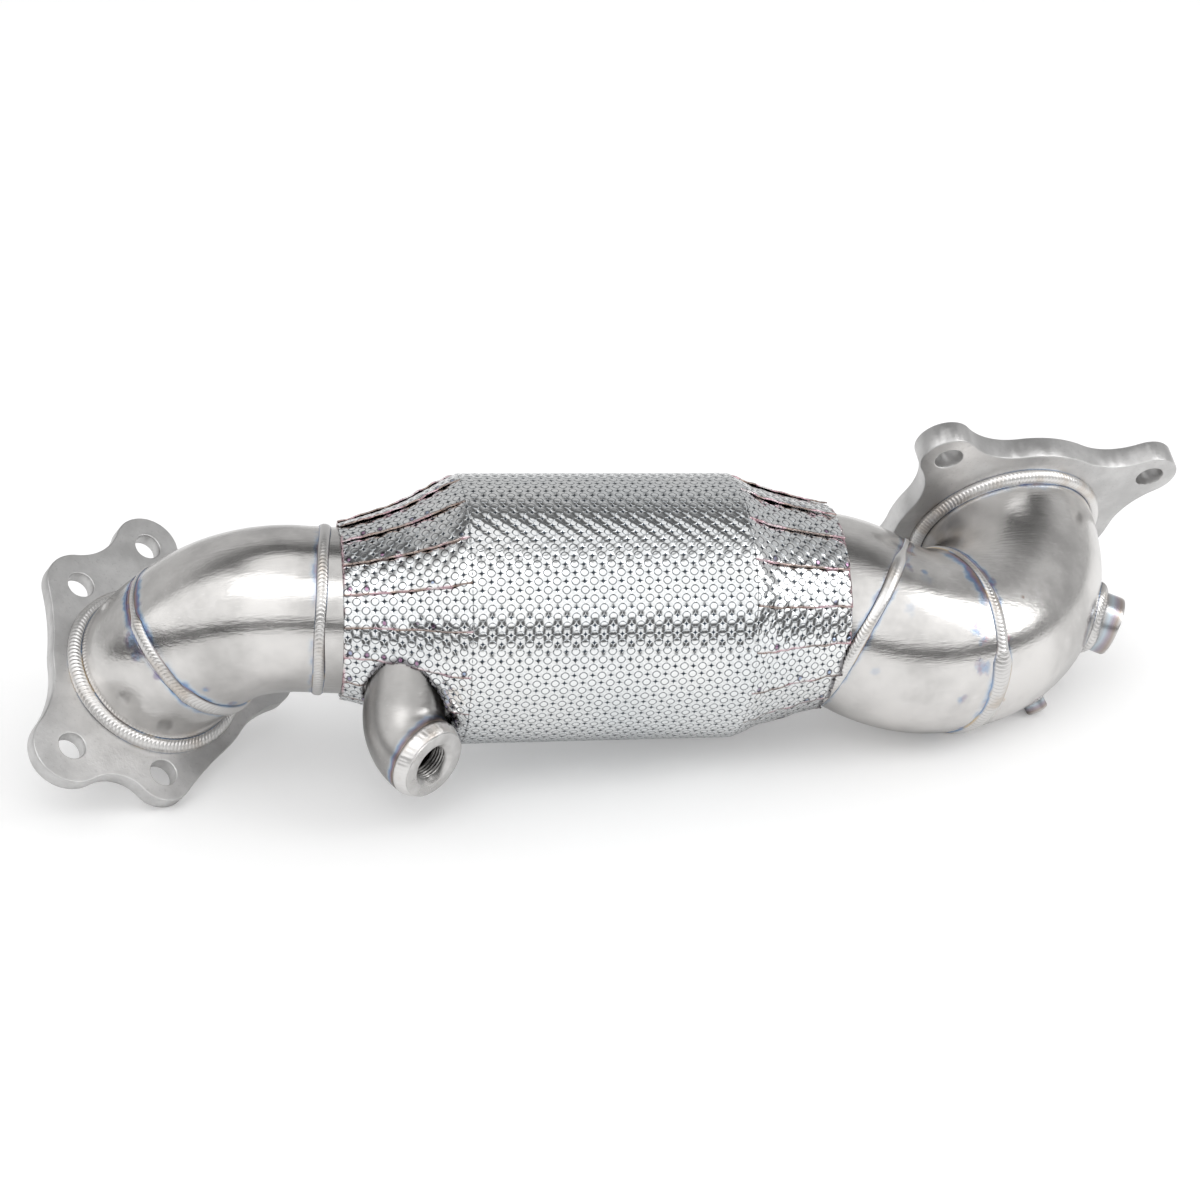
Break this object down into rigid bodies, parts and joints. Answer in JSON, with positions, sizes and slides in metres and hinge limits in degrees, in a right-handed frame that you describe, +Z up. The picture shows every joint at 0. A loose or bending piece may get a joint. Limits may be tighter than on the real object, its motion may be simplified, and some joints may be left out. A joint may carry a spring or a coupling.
{
  "type": "exhaust downpipe",
  "caption": "Exhaust downpipe: catalytic converter under a round embossed heat shield, bent tubes to a stud flange at each end, threaded sensor bungs.",
  "frame": {"origin": "centre of the bounding box's base, on the surface the part lies on", "axes": "+X from the outlet flange toward the turbo flange, nearly along the converter's axis; +Z up as it lies; -Y is the side the picture shows"},
  "size_m": [0.564, 0.1872, 0.1413],
  "materials": {
    "flange_steel": "matte, as cut",
    "tube_steel": "satin, bent tube",
    "weld_metal": "rippled bead, heat tinted",
    "bung_steel": "turned",
    "can_steel": "plain sheet",
    "shield_foil": "bright embossed foil",
    "support_mat": "ceramic fibre mat",
    "insulation_blanket": "ceramic fibre blanket",
    "honeycomb_core": "coated honeycomb"
  },
  "bodies": {
    "root": {"outlet_flange": "flange_steel", "outlet_flange_weld": "weld_metal", "outlet_stub": "tube_steel", "outlet_stub_weld": "weld_metal", "outlet_elbow": "tube_steel", "outlet_ring_weld": "weld_metal", "outlet_cone": "can_steel", "converter_can": "can_steel", "support_mat": "support_mat", "honeycomb_core": "honeycomb_core", "inlet_cone": "can_steel", "insulation_blanket": "insulation_blanket", "heat_shield": "shield_foil", "sensor_elbow": "tube_steel", "sensor_elbow_weld": "weld_metal", "rear_sensor_bung": "bung_steel", "rear_bung_weld": "weld_metal", "inlet_lower_bend": "tube_steel", "inlet_lower_weld": "weld_metal", "inlet_middle_bend": "tube_steel", "inlet_middle_weld": "weld_metal", "inlet_elbow": "tube_steel", "inlet_flange_weld": "weld_metal", "inlet_flange": "flange_steel", "front_sensor_bung": "bung_steel", "front_sensor_weld": "weld_metal", "port_boss": "bung_steel", "port_weld": "weld_metal"}
  },
  "joints": []
}
